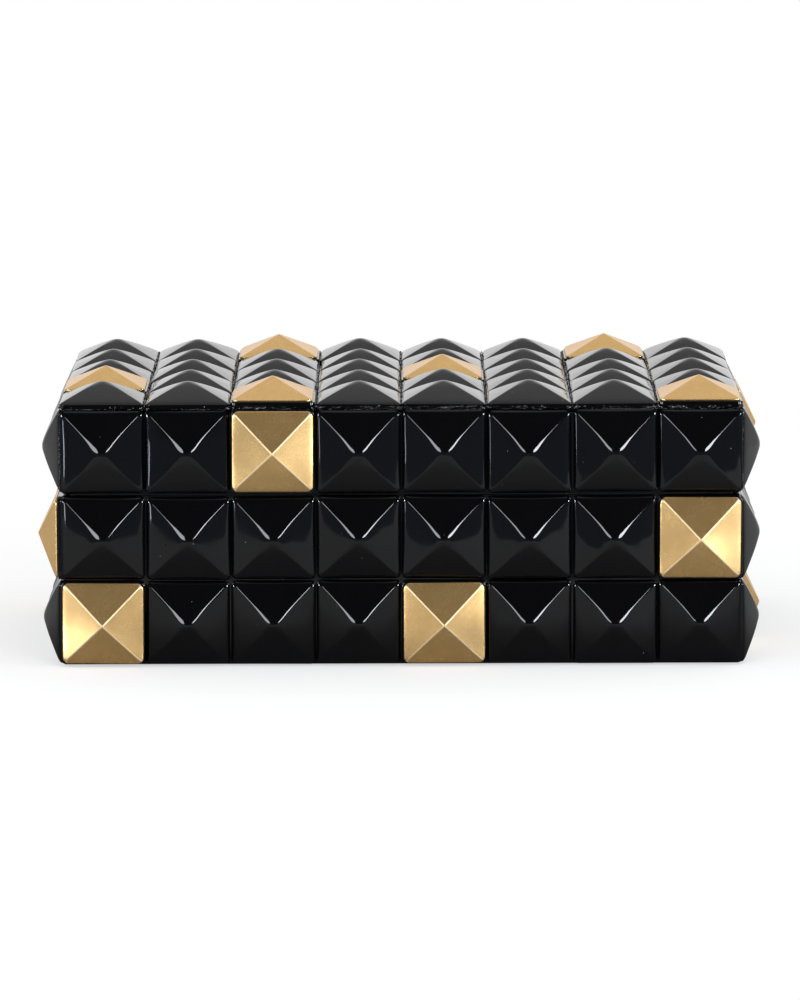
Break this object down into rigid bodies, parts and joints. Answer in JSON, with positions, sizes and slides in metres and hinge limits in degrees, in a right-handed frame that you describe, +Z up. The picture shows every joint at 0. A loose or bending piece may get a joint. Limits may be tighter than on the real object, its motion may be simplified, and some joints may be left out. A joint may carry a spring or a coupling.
{
  "type": "storage box",
  "caption": "Rectangular hinged storage box clad in square pyramid studs, black gloss with scattered satin gold ones, velvet-lined inside.",
  "frame": {"origin": "under the middle of the box, on the surface that its felt pads stand on", "axes": "+X to the right as seen from the front, +Y to the back where the hinges are, +Z up"},
  "size_m": [0.3078, 0.1998, 0.1215],
  "materials": {
    "black_lacquer": "deep black high gloss lacquer",
    "satin_gold": "satin brushed gold sheet",
    "black_wood": "black stained fibreboard",
    "black_velvet": "velvet on thin board",
    "grey_felt": "felt",
    "hinge_brass": "polished brass",
    "pin_steel": "brushed"
  },
  "bodies": {
    "base": {"base_front_panel": "black_lacquer", "base_back_panel": "black_lacquer", "base_left_panel": "black_lacquer", "base_right_panel": "black_lacquer", "base_front_wall": "black_wood", "base_back_wall": "black_wood", "base_left_wall": "black_wood", "base_right_wall": "black_wood", "base_bottom_board": "black_wood", "base_lining": "black_velvet", "foot_pad_front_left": "grey_felt", "foot_pad_front_right": "grey_felt", "foot_pad_back_left": "grey_felt", "foot_pad_back_right": "grey_felt", "gold_stud_front_8_2": "satin_gold", "gold_stud_front_1_3": "satin_gold", "gold_stud_front_5_3": "satin_gold", "gold_stud_back_8_2": "satin_gold", "gold_stud_back_2_3": "satin_gold", "gold_stud_back_6_3": "satin_gold", "gold_stud_left_5_2": "satin_gold", "gold_stud_left_1_3": "satin_gold", "gold_stud_right_2_3": "satin_gold", "hinge_base_leaf_left": "hinge_brass", "hinge_base_leaf_right": "hinge_brass", "hinge_pin_left": "pin_steel", "hinge_pin_right": "pin_steel", "base_screw_left_1": "hinge_brass", "base_screw_left_2": "hinge_brass", "base_screw_right_1": "hinge_brass", "base_screw_right_2": "hinge_brass"},
    "lid": {"lid_top_panel": "black_lacquer", "lid_front_panel": "black_lacquer", "lid_back_panel": "black_lacquer", "lid_left_panel": "black_lacquer", "lid_right_panel": "black_lacquer", "lid_top_board": "black_wood", "lid_front_wall": "black_wood", "lid_back_wall": "black_wood", "lid_left_wall": "black_wood", "lid_right_wall": "black_wood", "lid_lining": "black_velvet", "gold_stud_top_3_1": "satin_gold", "gold_stud_top_8_1": "satin_gold", "gold_stud_top_1_2": "satin_gold", "gold_stud_top_5_3": "satin_gold", "gold_stud_top_3_5": "satin_gold", "gold_stud_top_7_5": "satin_gold", "gold_stud_front_3_1": "satin_gold", "gold_stud_back_4_1": "satin_gold", "gold_stud_right_3_1": "satin_gold", "hinge_lid_leaf_left": "hinge_brass", "hinge_lid_leaf_right": "hinge_brass", "lid_screw_left_1": "hinge_brass", "lid_screw_left_2": "hinge_brass", "lid_screw_right_1": "hinge_brass", "lid_screw_right_2": "hinge_brass"}
  },
  "joints": [
    {"name": "lid_hinge", "type": "hinge", "parent": "base", "child": "lid", "pos_m": [0, 0.091, 0.0732], "axis": [-1, 0, 0], "range_deg": [0, 100]}
  ]
}
